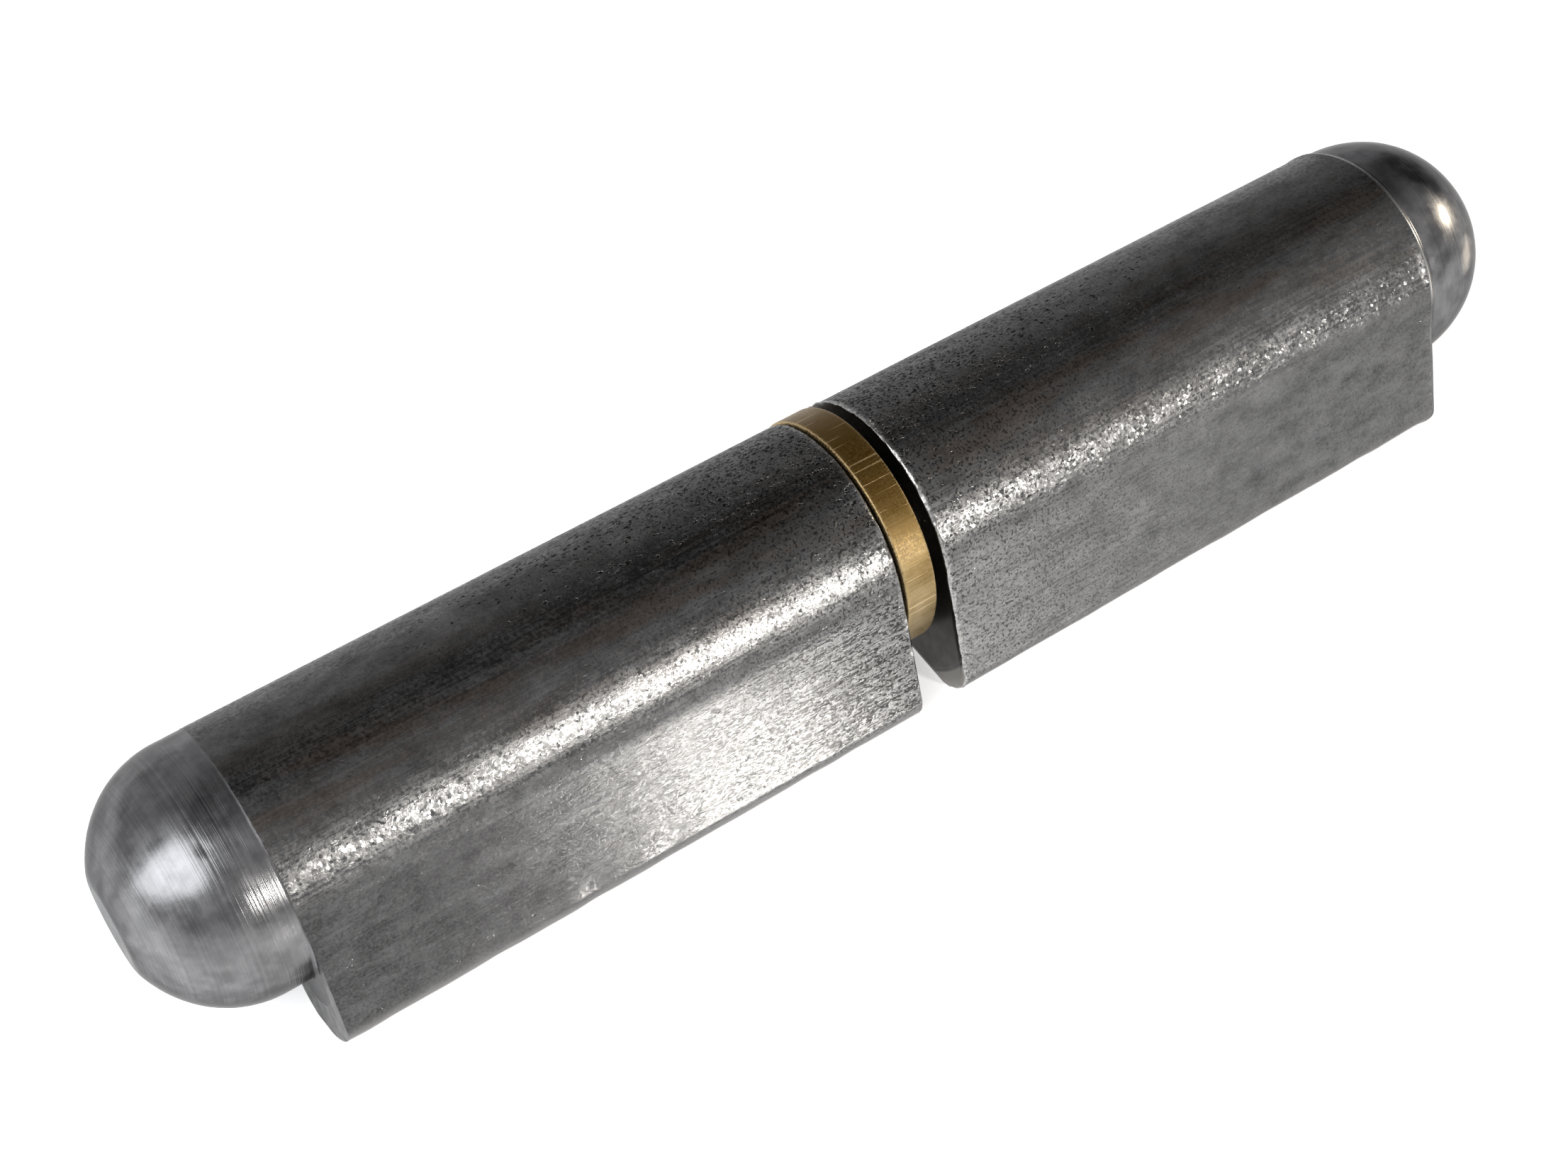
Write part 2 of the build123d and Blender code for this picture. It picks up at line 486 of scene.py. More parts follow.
def buildLeaf(leaf, materials):
    low, high = (np.array(corner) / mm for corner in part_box(leaf["node"]))
    length = high[0] - low[0]
    start = high[0] if leaf["towards"] < 0 else low[0]
    rings, zones, paths, steps, normals = leafRings(leaf, length)
    drawnRows = np.nonzero(zones == drawnZone)[0]
    firstRow, lastRow = int(drawnRows[0]) + 3, int(drawnRows[-1])
    offset = wearLeaf(leaf, rings, zones, paths, steps, length, firstRow, lastRow)
    lipRows = slice(lastRow - 1, lastRow + 1)
    if leaf["lip"]:
        zones[lipRows] = turnedZone
    moved = rings + ringNormals(rings) * offset[:, :, None]
    # a ragged burr stands along the bearing edge
    edgePoints = rings[firstRow] * [0, 1, 1]
    wideSize, fineSize = wear["burrSizes"]
    burrNoise = 0.3 + solidNoise(edgePoints, wideSize, leaf["seed"] + 6)
    burrNoise += solidNoise(edgePoints, fineSize, leaf["seed"] + 7)
    burr = leaf["burr"] * np.clip(burrNoise, -0.3, 1.2)
    for row, share in ((firstRow - 3, 0.5), (firstRow - 2, 1.0), (firstRow - 1, 0.8)):
        moved[row, :, 1:] += normals * (burr * share)[:, None]
    # the saw left the bearing face a little out of square, so the leaf lands on its back edge
    leanFade = np.clip(1 - moved[:, :, 0] / 20, 0, 1)
    moved[:, :, 0] += leaf["faceLean"] * (bar["barrelRadius"] + 0.3 - moved[:, :, 1]) * leanFade
    apexes = (rings[0, 0, 0] + 0.2, moved[-1, :, 0].mean())
    moved[:, :, 0] = start + leaf["towards"] * moved[:, :, 0]
    closing = [[start + leaf["towards"] * apex, 0, 0] for apex in apexes]
    piece = gridMesh(leaf["name"], moved, zones, *closing, leaf["towards"] > 0)
    # where the skin is pitted and stained, and where light and shade are painted on it: a highlight on the
    # lip, a reflection on the nose's edge, sheen near the gap and shade far from it
    middle = np.minimum(steps, girth - steps)
    fromGap = np.abs(moved[:, :, 0] - start)
    flank = np.interp(middle - backArc, wear["flankFade"], (0, 1))
    noseWay = middle - backArc - flankWidth - wear["noseEdgePlace"]
    pitted = np.interp(middle, wear["backReach"], (1, 0)) * np.interp(fromGap, wear["pitReach"], (1, 0))
    pitted = np.clip(pitted + np.interp(fromGap, (0, wear["gapReach"]), (wear["gapPitting"], 0)), 0, 1)
    burnished = np.zeros(paths.shape)
    # the lip's rows: bare steel, and a painted highlight line
    burnished[lipRows] = (1 - flank) * (1 if leaf["lip"] else 0)
    fields = {
        "turningPath": paths,
        "flank": flank,
        "noseEdge": np.exp(-((noseWay / wear["noseEdgeWidth"]) ** 2)),
        "fromGap": fromGap,
        "burnished": burnished,
        "crown": np.exp(-(((steps - wear["crownPlace"]) / wear["crownWidth"]) ** 2)),
        "pitted": pitted,
    }
    for label, values in fields.items():
        apexValue = paths[-1, 0] if label == "turningPath" else 0
        addFloats(piece, label, np.append(np.broadcast_to(values, paths.shape), [0, apexValue]))
    for material in materials:
        piece.data.materials.append(material)
    return piece


# Drawn steel: mild steel bar, cold drawn and then pickled, which left a rough and pitted skin
# To the eye it is a dark grey with streaks along the bar, and single grains flash where they face the light

drawnSteel = {
    "dark": "#4c4c4c",
    "light": "#747474",
    "toneStops": (0.45, 0.72),
    "toneShares": (0.62, 0.3, 0.25),  # of the patches, the grain and the specks
    "edgeTint": "#bcbcbc",
    # mm along the bar, mm across it, detail and roughness
    # the skin's real grain is about 0.05 mm and wouldn't show, so grain and specks are drawn coarser
    "patterns": {
        "grain": (0.24, 0.24, 2.0, 0.8),
        "specks": (0.16, 0.16, 0.0, 0.5),
        "lines": (9.0, 0.13, 1.0, 0.5),  # scores from the drawing die
        "dots": (0.32, 0.12, 1.0, 0.5),
        "patches": (2.6, 1.5, 5.0, 0.68),
        "stains": (9.0, 1.6, 3.0, 0.6),
    },
    "facetSize": 0.18,  # mm, as coarse as the specks to show
    "facetStretch": (1.6, 0.5, 0.5),  # they lean along the bar more than across it
    "facetRarity": 1.4,
    "flankTilt": 0.2,
    "pitSize": (0.42, 0.24),  # mm along and across the bar
    "pitWobble": 0.4,
    "pitWobbleSize": 0.25,
    "pitRim": (0.28, 0.50),
    "pitChance": (0.95, 1.15),
    "pitDark": 0.93,
    "pitDepth": 0.042,
    "stain": "#574839",
    "stainRange": (0.42, 0.62, 0.0, 0.55),
    "gapFade": (4.0, 30.0, 1.0, 0.25),  # wear along the leaf, from the gap in mm
    "scoreRange": (0.54, 0.66),
    "dotRows": (0.7, 0.3),  # of the dots and the lines
    "dotRange": (0.52, 0.575),
    "dotDepth": 0.005,
    "pepperRange": (0.56, 0.68, 0.0, 0.8),
    # the dark of the pits, specks, scores and dots, and of the painted shade far from the gap
    "markAndShadeColour": "#1f1e1d",
    # painted shade: where the flank darkens, from the gap in mm
    "farShadeReach": (15.0, 34.0),
    # a painted sheen, on the flank near the gap and on the pitted back
    "rubbed": "#a0a0a0",
    "sheenReach": (4.0, 26.0),
    "pittedRub": 0.11,
    # bare steel on the edges, lightened also as a painted glint on the bearing edge and a painted reflection
    # on the nose's edge
    "bareAndGlint": "#b4b3b1",
    "bareGlintRagged": 0.9,
    "bareGlintReach": (-0.32, -0.06),
    "wornShares": (0.65, 0.35),  # of the grain and the lines
    "wornRange": (0.44, 0.56),
    "facetGloss": (0.2, 0.9, 1.0, 0.8),
    "grainHeight": 0.009,
    "flankGrainHeight": 0.0009,
    "lineHeight": 0.002,
}


def drawnSteelMaterial(leaf):
    s = drawnSteel
    name = "Drawn mild steel, " + leaf["node"].replace("_", " ")
    shift = (leaf["seed"], 11, 5)  # so that the leaves don't look alike
    material, tree, place, *noises = newMaterial(name, s["patterns"], shift)
    grain, specks, lines, dots, patches, stains = noises
    flank, pitted, crown, fromGap, noseEdge = (
        addNode(tree, "Attribute", attribute_name=label).outputs["Fac"]
        for label in ("flank", "pitted", "crown", "fromGap", "noseEdge")
    )
    # pits of uneven outline, from cells whose coordinates are pushed about a little
    wobble = s["pitWobble"]
    push = addNode(tree, "TexNoise", {"Vector": place, "Scale": 1 / s["pitWobbleSize"], "Detail": 1.0})
    pushing = (push.outputs["Color"], (wobble, wobble, wobble), place)
    pushed = addNode(tree, "VectorMath", pushing, operation="MULTIPLY_ADD")
    long, wide = s["pitSize"]
    sized = addNode(tree, "Mapping", {"Vector": pushed, "Scale": (1 / long, 1 / wide, 1 / wide)})
    cells = addNode(tree, "TexVoronoi", {"Vector": sized, "Scale": 1.0})
    chance = addNode(tree, "SeparateColor", (cells.outputs["Color"],))
    chance = addNode(tree, "Math", (chance, pitted), operation="ADD")
    chosen = addNode(tree, "MapRange", (chance, *s["pitChance"]))
    depth = addNode(tree, "MapRange", (cells, *s["pitRim"], 1.0, 0.0))
    pits = addNode(tree, "Math", (depth, chosen), operation="MULTIPLY")
    # loose grains of the skin that stand at odd angles
    facets = addNode(tree, "TexVoronoi", {"Vector": place, "Scale": 1 / s["facetSize"]})
    blue = addNode(tree, "SeparateColor", (facets.outputs["Color"],)).outputs["Blue"]
    oddness = addNode(tree, "Math", (blue, s["facetRarity"]), operation="POWER")
    barrelTilt, flankTilt = leaf["facetTilt"], leaf["facetTilt"] * s["flankTilt"]
    tilt = addNode(tree, "MapRange", (flank, 0.0, 1.0, barrelTilt, flankTilt))
    tilt = addNode(tree, "Math", (oddness, tilt), operation="MULTIPLY")
    centring = tuple(-stretch / 2 for stretch in s["facetStretch"])
    leaning = (facets.outputs["Color"], s["facetStretch"], centring)
    lean = addNode(tree, "VectorMath", leaning, operation="MULTIPLY_ADD")
    lean = addNode(tree, "VectorMath", {0: lean, "Scale": tilt}, operation="SCALE")
    facing = addNode(tree, "NewGeometry").outputs["Normal"]
    normal = addNode(tree, "VectorMath", (lean, facing), operation="ADD")
    normal = addNode(tree, "VectorMath", (normal,), operation="NORMALIZE")
    # where the skin is stained, scored and dotted, where sheen near the gap and shade far from it are
    # painted, and where bare steel is lightened as a painted glint and reflection
    stained = addNode(tree, "MapRange", (stains, *s["stainRange"]))
    stained = addNode(tree, "Math", (stained, crown), operation="MULTIPLY")
    nearGap = addNode(tree, "MapRange", (fromGap, *s["gapFade"]))
    flankNearGap = addNode(tree, "Math", (flank, nearGap), operation="MULTIPLY")
    scores = addNode(tree, "MapRange", (lines, *s["scoreRange"], 0.0, leaf["scores"]))
    scores = addNode(tree, "Math", (scores, flankNearGap), operation="MULTIPLY")
    dotShare, lineShare = s["dotRows"]
    rows = addNode(tree, "Math", (lines, lineShare), operation="MULTIPLY")
    rows = addNode(tree, "Math", (dots, dotShare, rows), operation="MULTIPLY_ADD")
    dotted = addNode(tree, "MapRange", (rows, *s["dotRange"]))
    dotted = addNode(tree, "Math", (dotted, flankNearGap), operation="MULTIPLY")
    pepper = addNode(tree, "MapRange", (specks, *s["pepperRange"]))
    pepper = addNode(tree, "Math", (pepper, nearGap), operation="MULTIPLY")
    # painted shade: the flank darkens away from the gap
    dulled = addNode(tree, "MapRange", (fromGap, *s["farShadeReach"], 0.0, leaf["farShadeShare"]))
    dirt = addNode(tree, "Math", (dulled, flank, scores), operation="MULTIPLY_ADD")
    for part, share in ((pits, s["pitDark"]), (pepper, 1.0), (dotted, leaf["dots"])):
        part = addNode(tree, "Math", (part, share), operation="MULTIPLY")
        dirt = addNode(tree, "Math", (dirt, part), operation="MAXIMUM")
    # painted sheen: the flank is lighter near the gap, and the pitted back a little lighter
    rubbed = addNode(tree, "MapRange", (fromGap, *s["sheenReach"], leaf["flankSheen"], 0.0))
    rubbed = addNode(tree, "Math", (rubbed, flank), operation="MULTIPLY")
    pittedRub = addNode(tree, "Math", (pitted, s["pittedRub"]), operation="MULTIPLY")
    rubbed = addNode(tree, "Math", (rubbed, pittedRub), operation="MAXIMUM")
    # bare steel on the bearing edge and the nose's edge, lightened also as a painted glint and a painted
    # reflection
    ragged = addNode(tree, "Math", (grain, -s["bareGlintRagged"], fromGap), operation="MULTIPLY_ADD")
    bared = addNode(tree, "MapRange", (ragged, *s["bareGlintReach"], leaf["edgeBareGlint"], 0.0))
    noseBared = addNode(tree, "Math", (noseEdge, leaf["noseBareReflection"]), operation="MULTIPLY")
    bared = addNode(tree, "Math", (bared, noseBared), operation="MAXIMUM")
    # colour
    tone = leaf["toneLift"]
    for part, share in zip((patches, grain, specks), s["toneShares"]):
        tone = addNode(tree, "Math", (part, share, tone), operation="MULTIPLY_ADD")
    colour = addNode(tree, "ValToRGB", (tone,), stops=dict(zip(s["toneStops"], (s["dark"], s["light"]))))
    for label, amount in (("stain", stained), ("rubbed", rubbed), ("markAndShadeColour", dirt), ("bareAndGlint", bared)):
        layer = {"Factor": amount, "A": colour, "B": toLinear(s[label])}
        colour = addNode(tree, "Mix", layer, data_type="RGBA").outputs["Result"]
    # gloss: worn high spots between dull grains
    grainShare, lineShare = s["wornShares"]
    worn = addNode(tree, "Math", (lines, lineShare), operation="MULTIPLY")
    worn = addNode(tree, "Math", (grain, grainShare, worn), operation="MULTIPLY_ADD")
    worn = addNode(tree, "MapRange", (worn, *s["wornRange"]))
    barrel = addNode(tree, "MapRange", (worn, 0.0, 1.0, *leaf["barrelRoughness"][::-1]))
    flat = addNode(tree, "MapRange", (worn, 0.0, 1.0, *leaf["flankRoughness"][::-1]))
    rough = addNode(tree, "Mix", {"Factor": flank, "A": barrel, "B": flat})
    gloss = addNode(tree, "MapRange", (oddness, *s["facetGloss"]))
    rough = addNode(tree, "Math", (rough, gloss), operation="MULTIPLY")
    # height in mm
    grainHeight = addNode(tree, "Mix", {"Factor": flank, "A": s["grainHeight"], "B": s["flankGrainHeight"]})
    height = addNode(tree, "Math", (grain, grainHeight), operation="MULTIPLY")
    for part, share in ((lines, s["lineHeight"]), (pits, -s["pitDepth"]), (dotted, -s["dotDepth"])):
        height = addNode(tree, "Math", (part, share, height), operation="MULTIPLY_ADD")
    shading = {"Base Color": colour, "Roughness": rough, "Specular Tint": toLinear(s["edgeTint"])}
    addMetal(tree, height, shading, normal)
    return material


# Turned steel: mild steel off the lathe, on the domes
# To the eye it is an even, brighter grey, and the tool's fine rings spread the lamps' images a little

turnedSteel = {
    "dark": "#686869",
    "light": "#808081",
    "toneStops": (0.38, 0.62),
    "toneShares": (0.3, 0.7),  # of the rings and the cloud
    "edgeTint": "#b4b4b4",
    # for the lip's rows: bare steel, lightened also as a painted highlight line
    "bareAndGlint": "#a8a8a7",
    # mm along the bar, mm across it, detail and roughness, as in the other steels
    "patterns": {"cloud": (1.25, 1.25, 3.0, 0.5), "fine": (0.2, 0.2, 2.0, 0.5)},
    "fineHeight": 0.002,
    "ringSize": 0.2,  # the lathe's feed for each turn
    "ringDetail": (3.0, 0.7),
    "ringFade": (1.5, 6.0, 0.25),  # from and to along the dome, and what is left of the rings there
    "roughnessSpread": (0.35, 0.65, -0.05, 0.07),
}


def turnedSteelMaterial(leaf):
    s = turnedSteel
    name = "Turned mild steel, " + leaf["node"].replace("_", " ")
    material, tree, _, cloud, fine = newMaterial(name, s["patterns"])
    path = addNode(tree, "Attribute", attribute_name="turningPath").outputs["Fac"]
    burnished = addNode(tree, "Attribute", attribute_name="burnished").outputs["Fac"]
    detail, roughness = s["ringDetail"]
    settings = {"W": path, "Scale": 1 / s["ringSize"], "Detail": detail, "Roughness": roughness}
    rings = addNode(tree, "TexNoise", settings, noise_dimensions="1D")
    tone = 0.0
    for part, share in zip((rings, cloud), s["toneShares"]):
        tone = addNode(tree, "Math", (part, share, tone), operation="MULTIPLY_ADD")
    colour = addNode(tree, "ValToRGB", (tone,), stops=dict(zip(s["toneStops"], (s["dark"], s["light"]))))
    # the lip is bare steel, painted lighter too as a highlight line
    layer = {"Factor": burnished, "A": colour, "B": toLinear(s["bareAndGlint"])}
    colour = addNode(tree, "Mix", layer, data_type="RGBA").outputs["Result"]
    toneLow, toneHigh, smoother, rougher = s["roughnessSpread"]
    ends = (leaf["domeRoughness"] + smoother, leaf["domeRoughness"] + rougher)
    rough = addNode(tree, "MapRange", (tone, toneLow, toneHigh, *ends))
    near, far, left = s["ringFade"]
    depth = addNode(tree, "MapRange", (path, near, far, leaf["ringHeight"], leaf["ringHeight"] * left))
    height = addNode(tree, "Math", (rings, depth), operation="MULTIPLY")
    height = addNode(tree, "Math", (fine, s["fineHeight"], height), operation="MULTIPLY_ADD")
    shading = {"Base Color": colour, "Roughness": rough, "Specular Tint": toLinear(s["edgeTint"])}
    addMetal(tree, height, shading)
    return material


# Faced, drilled and sawn steel: the bearing faces, the bores and the square ends of the noses
# To the eye the faces are nearly black and ringed by the tool, their dark being painted shade from the gap
# between the leaves, and the rest is a plain dull grey

facedSteel = {
    "name": "Faced mild steel",
    # painted shade: the faced ends are painted this dark for the shade in the gap
    "dark": "#2e2c2b",
    "light": "#403e3c",
    "rim": "#7c7a77",
    "ringHeight": 0.006,
    "grooveRadius": 10.75,
    "roughness": 0.35,
}
boredSteel = {
    "name": "Drilled mild steel",
    "dark": "#4a4846",
    "light": "#5e5c59",
    "rim": "#5e5c59",
    "ringHeight": 0.0,
    "grooveRadius": 10.75,
    "roughness": 0.4,
}
sawnSteel = {
    "name": "Sawn mild steel",
    "dark": "#505050",
    "light": "#6e6e6e",
    "rim": "#6e6e6e",
    "ringHeight": 0.0,
    "grooveRadius": 15.0,
    "roughness": 0.5,
}
cutSteel = {  # what the three have in common
    "patterns": {"cloud": (0.7143, 0.7143, 4.0, 0.5)},
    "cloudHeight": 0.006,
    "toneStops": (0.35, 0.65),
    "ringSize": 0.3,  # the facing tool's feed
    "grooveWidth": 0.2,
    "grooveDepth": 0.03,
    "beyondGroove": 0.8,
}


def cutSteelMaterial(s):
    material, tree, place, cloud = newMaterial(s["name"], cutSteel["patterns"])
    spokes = addNode(tree, "VectorMath", (place, (0, 1, 1)), operation="MULTIPLY")
    radius = addNode(tree, "VectorMath", (spokes,), operation="LENGTH").outputs["Value"]
    settings = {"W": radius, "Scale": 1 / cutSteel["ringSize"], "Detail": 2.0}
    rings = addNode(tree, "TexNoise", settings, noise_dimensions="1D")
    stops = dict(zip(cutSteel["toneStops"], (s["dark"], s["light"])))
    colour = addNode(tree, "ValToRGB", (cloud,), stops=stops)
    # the tool stopped short of the nose's tip and left a groove there; beyond it the face takes its rim
    # colour, which on the faced ends is lighter than their painted shade
    groove, width = s["grooveRadius"], cutSteel["grooveWidth"]
    beyond = addNode(tree, "MapRange", (radius, groove, groove + width, 0.0, cutSteel["beyondGroove"]))
    layer = {"Factor": beyond, "A": colour, "B": toLinear(s["rim"])}
    colour = addNode(tree, "Mix", layer, data_type="RGBA").outputs["Result"]
    away = addNode(tree, "Math", (radius, groove), operation="SUBTRACT")
    away = addNode(tree, "Math", (away,), operation="ABSOLUTE")
    height = addNode(tree, "MapRange", (away, 0.0, width, -cutSteel["grooveDepth"], 0.0))
    for part, share in ((cloud, cutSteel["cloudHeight"]), (rings, s["ringHeight"])):
        height = addNode(tree, "Math", (part, share, height), operation="MULTIPLY_ADD")
    addMetal(tree, height, {"Base Color": colour, "Roughness": s["roughness"]})
    return material


# Washer: brass, turned to a ring, and tarnished since, with painted shade darkening its top
# To the eye it is a dull olive yellow, with bright thin cuts across its rim and bare metal on its edges,
# lightened also as a painted glint

washer = {
    "node": "brass_washer",
    "boreRadius": 4.6,
    "edge": 0.12,
    "columns": 420,
    "seed": 5,
    "shift": (0.0, 0.05, 0.08),  # on the pin, within its clearance
    "flats": (1.9, 0.014),  # size and height of the rim's unevenness, as the next one
    "rimScores": (0.35, 0.003),
    # how far in from the rim's edges the bare metal and its painted glint reach
    "wornGlintEdge": 0.14,
    # mm along the pin, mm across it, detail and roughness
    # the real grain is about 0.05 mm and wouldn't show, so it is drawn coarser
    "patterns": {
        "scores": (6.0, 0.12, 2.0, 0.7),
        "cuts": (9.0, 0.2, 1.0, 0.5),
        "cloud": (2.0, 2.0, 3.0, 0.5),
        "grain": (0.125, 0.125, 2.0, 0.5),
    },
    "toneShares": (0.25, 0.5, 0.25),  # of the scores, the cloud and the grain
    "dark": "#665330",
    "middle": "#7e6d4b",
    "light": "#918163",
    "toneStops": (0.38, 0.5, 0.62),
    # brown tarnish and painted shade, by height above the pin's axis
    "tarnishAndShade": "#5c4210",
    "tarnishShadeSpread": 4.0,
    "tarnishShadeRange": (6.2, 9.4, 0.0, 0.8),  # by height above the pin's axis in mm
    # bare brass in the cuts, and on the edges also as a painted glint
    "bareAndGlint": "#c4ae84",
    "cutRange": (0.655, 0.685),
    "cutBare": 0.6,
    "edgeGlintRange": (0.4, 0.5, 0.2, 0.9),
    "roughness": (0.35, 0.65, 0.43, 0.60),
    "heights": (0.003, 0.006, -0.008),  # of the scores, the grain and the cuts
    "coat": (0.05, 0.4),  # a trace of oil, its weight and roughness
}


def turnedRings(profile, columns):  # rings of points about the pin's axis, from pairs of place and radius
    turns = np.arange(columns) * 2 * pi / columns
    return np.array([[(x, r * cos(t), r * sin(t)) for t in turns] for x, r in profile])


def buildWasher(material):
    low, high = (np.array(corner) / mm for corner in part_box(washer["node"]))
    outer = (high[1] - low[1]) / 2
    x0, x1 = low[0], high[0]
    edge, bore = washer["edge"], washer["boreRadius"]
    profile = [(x0 + edge, bore), (x0, bore + edge)]
    profile += [(x0, r) for r in np.linspace(bore + edge, outer - edge, 9)[1:]]
    profile += [(x0 + edge * (1 - cos(t)), outer - edge * (1 - sin(t))) for t in np.radians([35, 65, 90])]
    profile += [(x, outer) for x in np.linspace(x0 + edge, x1 - edge, 15)[1:-1]]
    profile += [(x1 - edge * (1 - cos(t)), outer - edge * (1 - sin(t))) for t in np.radians([90, 65, 35])]
    profile += [(x1, r) for r in np.linspace(outer - edge, bore + edge, 9)]
    profile += [(x1 - edge, bore)]
    profile.append(profile[0])
    rings = turnedRings(profile, washer["columns"])
    points = rings.reshape(-1, 3)
    flatSize, flatHeight = washer["flats"]
    scoreSize, scoreHeight = washer["rimScores"]
    flats = solidNoise(points * [0, 1, 1], flatSize, washer["seed"])
    scores = solidNoise(points * [0.1, 1, 1], scoreSize, washer["seed"] + 1)
    offset = (flatHeight * flats + scoreHeight * scores).reshape(rings.shape[:2])
    radius = np.hypot(rings[:, :, 1], rings[:, :, 2])
    offset[radius < outer - 1e-6] = 0  # the rim alone is uneven
    normals = ringNormals(rings)
    outward = np.sign((normals * (rings * [0, 1, 1])).sum(axis=2))
    rings = rings + normals * (offset * outward)[:, :, None]
    piece = gridMesh("brassWasher", rings + washer["shift"], np.zeros(len(profile), int), None, None, False)
    fromSide = np.minimum(rings[:, :, 0] - x0, x1 - rings[:, :, 0])
    edgeWear = np.clip(1 - fromSide / washer["wornGlintEdge"], 0, 1) * (radius > outer - 0.2)
    addFloats(piece, "edgeWear", edgeWear.reshape(-1))
    piece.data.materials.append(material)
    return piece


def brassMaterial(s):
    material, tree, place, scores, cuts, cloud, grain = newMaterial("Turned brass", s["patterns"])
    tone = 0.0
    for part, share in zip((scores, cloud, grain), s["toneShares"]):
        tone = addNode(tree, "Math", (part, share, tone), operation="MULTIPLY_ADD")
    stops = dict(zip(s["toneStops"], (s["dark"], s["middle"], s["light"])))
    colour = addNode(tree, "ValToRGB", (tone,), stops=stops)
    # brown tarnish and painted shade, darker and browner towards the top
    upward = addNode(tree, "SeparateXYZ", (place,)).outputs["Z"]
    upward = addNode(tree, "Math", (cloud, s["tarnishShadeSpread"], upward), operation="MULTIPLY_ADD")
    tarnished = addNode(tree, "MapRange", (upward, *s["tarnishShadeRange"]))
    # bare metal in the cuts, and on the edges bare metal lightened also as a painted glint
    cut = addNode(tree, "MapRange", (cuts, *s["cutRange"]))
    cutBared = addNode(tree, "Math", (cut, s["cutBare"]), operation="MULTIPLY")
    edge = addNode(tree, "Attribute", attribute_name="edgeWear").outputs["Fac"]
    edgeBared = addNode(tree, "MapRange", (grain, *s["edgeGlintRange"]))
    edgeBared = addNode(tree, "Math", (edge, edgeBared), operation="MULTIPLY")
    bared = addNode(tree, "Math", (cutBared, edgeBared), operation="MAXIMUM")
    for label, amount in (("tarnishAndShade", tarnished), ("bareAndGlint", bared)):
        layer = {"Factor": amount, "A": colour, "B": toLinear(s[label])}
        colour = addNode(tree, "Mix", layer, data_type="RGBA").outputs["Result"]
    rough = addNode(tree, "MapRange", (grain, *s["roughness"]))
    height = 0.0
    for part, share in zip((scores, grain, cut), s["heights"]):
        height = addNode(tree, "Math", (part, share, height), operation="MULTIPLY_ADD")
    coatWeight, coatRoughness = s["coat"]
    coat = {"Coat Weight": coatWeight, "Coat Roughness": coatRoughness}
    addMetal(tree, height, {"Base Color": colour, "Roughness": rough, **coat})
    return material


# Pin: steel, ground round and true
# To the eye it is the brightest piece, with fine dull rings about it

pin = {
    "node": "hinge_pin",
    "columns": 120,
    "rows": 90,
    "leadChamfer": 0.8,
    "footChamfer": 0.4,
    "dark": "#8f8e8c",
    "light": "#b0afad",
    "toneStops": (0.35, 0.65),
    "patterns": {"marks": (0.09, 6.0, 3.0, 0.7)},  # the wheel's lines are finer, drawn coarse enough to show
    "markHeight": 0.003,
    "roughness": (0.35, 0.65, 0.2, 0.32),
}


def buildPin(material):
    low, high = (np.array(corner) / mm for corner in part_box(pin["node"]))
    radius = (high[1] - low[1]) / 2
    lead, foot = pin["leadChamfer"], pin["footChamfer"]
    profile = [(low[0], r) for r in np.linspace(0.3, radius - foot, 5)]
    profile += [(low[0] + foot, radius)]
    profile += [(x, radius) for x in np.linspace(low[0] + foot + 0.05, high[0] - lead - 0.05, pin["rows"])]
    profile += [(high[0] - lead, radius), (high[0] - 0.04, radius - lead + 0.04)]
    profile += [(high[0], radius - lead - 0.03)]
    profile += [(high[0], r) for r in np.linspace(radius - lead - 0.1, 0.3, 5)]
    rings = turnedRings(profile, pin["columns"])
    zones = np.zeros(len(profile), int)
    piece = gridMesh("hingePin", rings, zones, [low[0], 0, 0], [high[0], 0, 0], True)
    piece.data.materials.append(material)
    return piece


def groundSteelMaterial(s):
    material, tree, _, marks = newMaterial("Ground steel", s["patterns"])
    colour = addNode(tree, "ValToRGB", (marks,), stops=dict(zip(s["toneStops"], (s["dark"], s["light"]))))
    rough = addNode(tree, "MapRange", (marks, *s["roughness"]))
    height = addNode(tree, "Math", (marks, s["markHeight"]), operation="MULTIPLY")
    addMetal(tree, height, {"Base Color": colour, "Roughness": rough})
    return material


# The pieces, each on its body and in place of its node

boreSteel, faceSteel, endSteel = (cutSteelMaterial(s) for s in (boredSteel, facedSteel, sawnSteel))
pieces = []
for leaf, body in ((frameLeaf, "frame_side"), (doorLeaf, "door_side")):
    materials = [boreSteel, faceSteel, drawnSteelMaterial(leaf), turnedSteelMaterial(leaf), endSteel]
    pieces.append((buildLeaf(leaf, materials), body, leaf["node"], "drawn_steel"))
pieces.append((buildWasher(brassMaterial(washer)), "washer", washer["node"], "brass"))
pieces.append((buildPin(groundSteelMaterial(pin)), "frame_side", pin["node"], "ground_steel"))
for piece, body, node, slot in pieces:
    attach(piece, body)
    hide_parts(node)
    print("built", piece.name, len(piece.data.polygons), "faces")


# Studio: a white board, a low key lamp in front, a window at the left and a small warm lamp at the right

